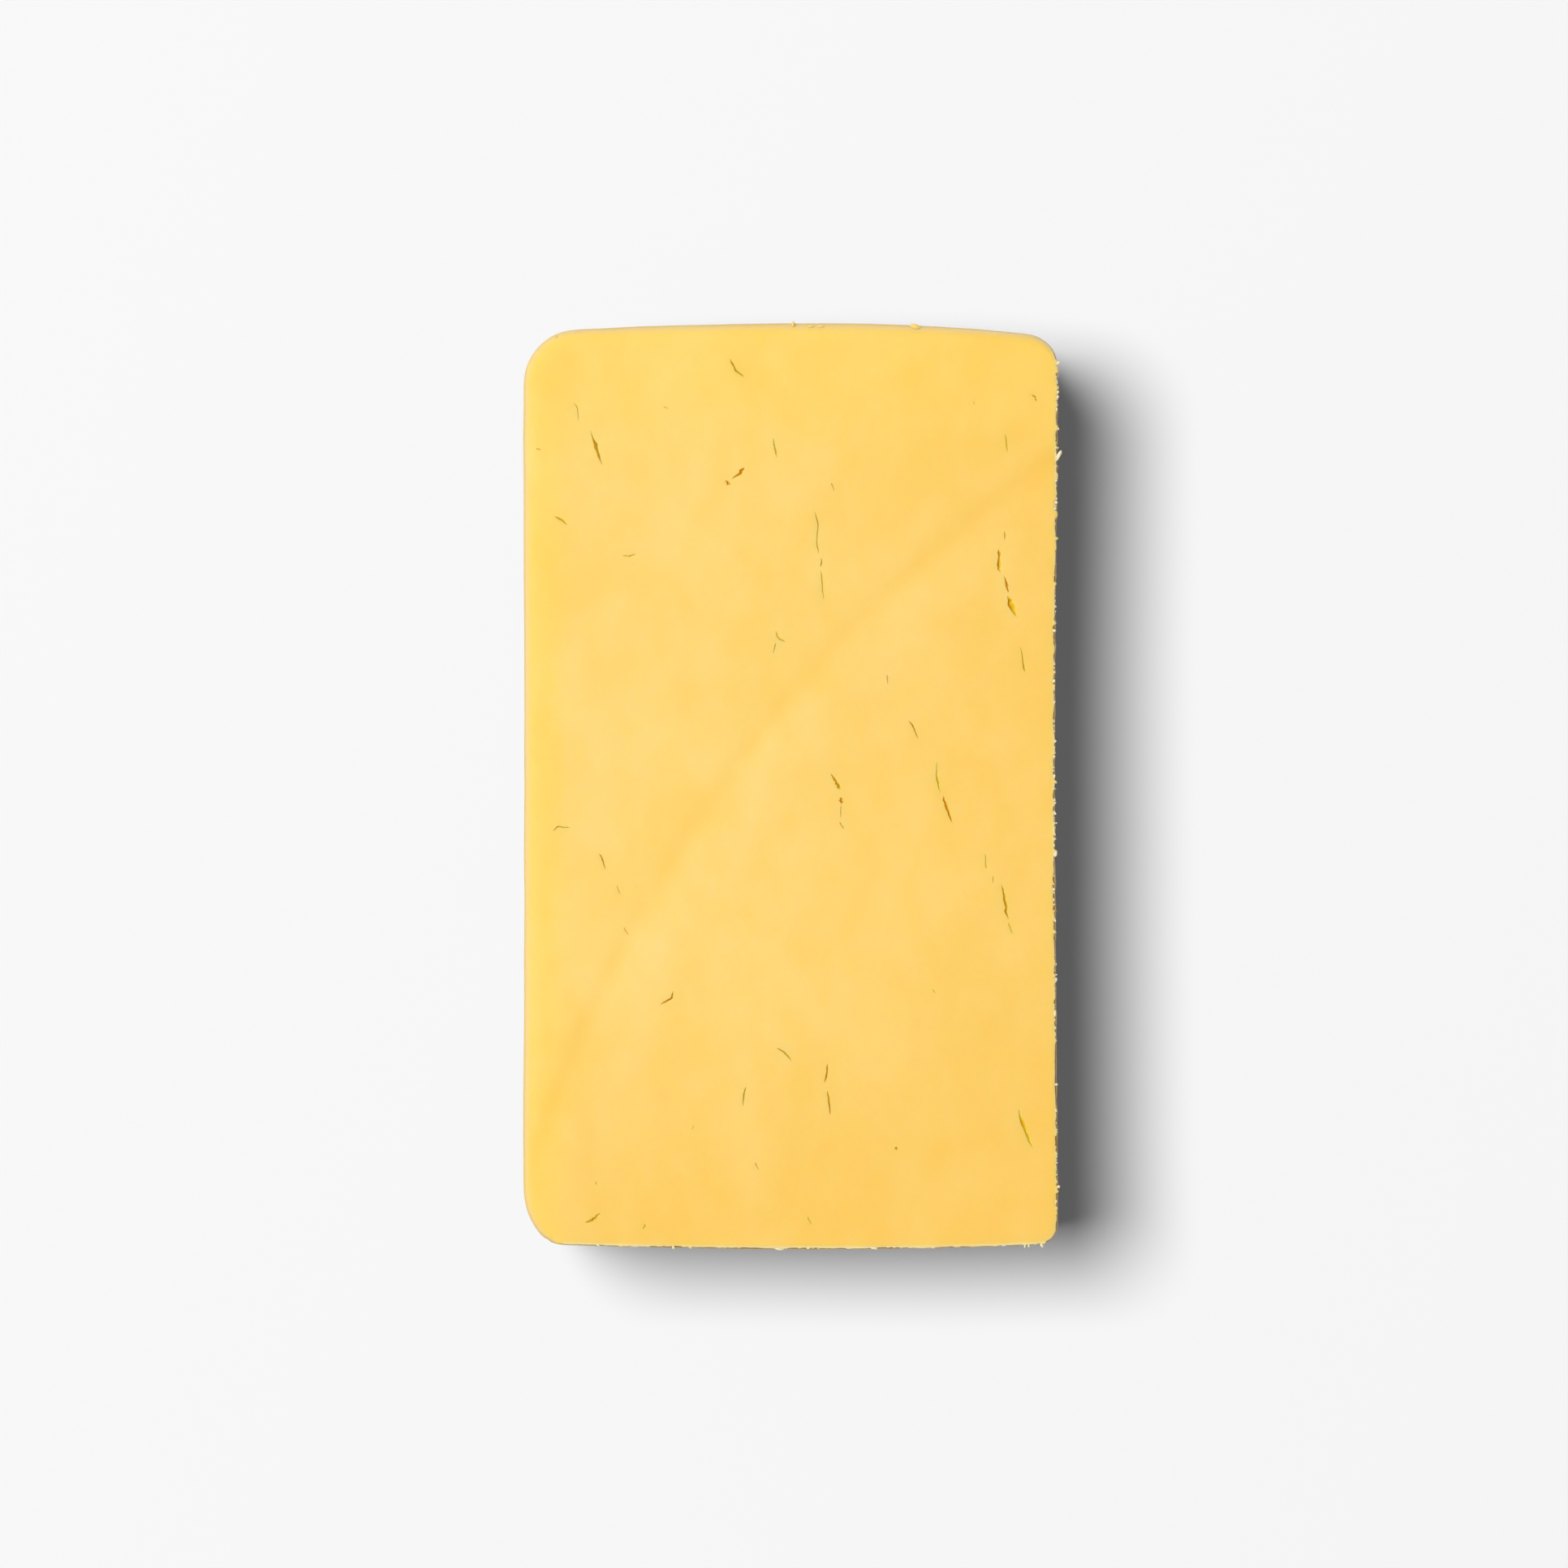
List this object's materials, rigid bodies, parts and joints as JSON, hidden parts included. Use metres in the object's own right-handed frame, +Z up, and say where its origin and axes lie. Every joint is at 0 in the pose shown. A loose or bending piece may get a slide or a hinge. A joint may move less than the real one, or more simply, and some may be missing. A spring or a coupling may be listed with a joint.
{
  "type": "cheddar block",
  "caption": "Rectangular block of mild yellow cheddar with rounded corners, slightly bowed sides and short drying fissures in its faces.",
  "frame": {"origin": "on the table under the middle of the block", "axes": "+Z up through the block's thickness, +Y along its length towards the end with the softest corner, +X across its width"},
  "size_m": [0.0703, 0.1218, 0.04],
  "materials": {
    "cheese": "soft waxy yellow cheddar, faintly mottled"
  },
  "bodies": {
    "root": {"cheese": "cheese"}
  },
  "joints": []
}
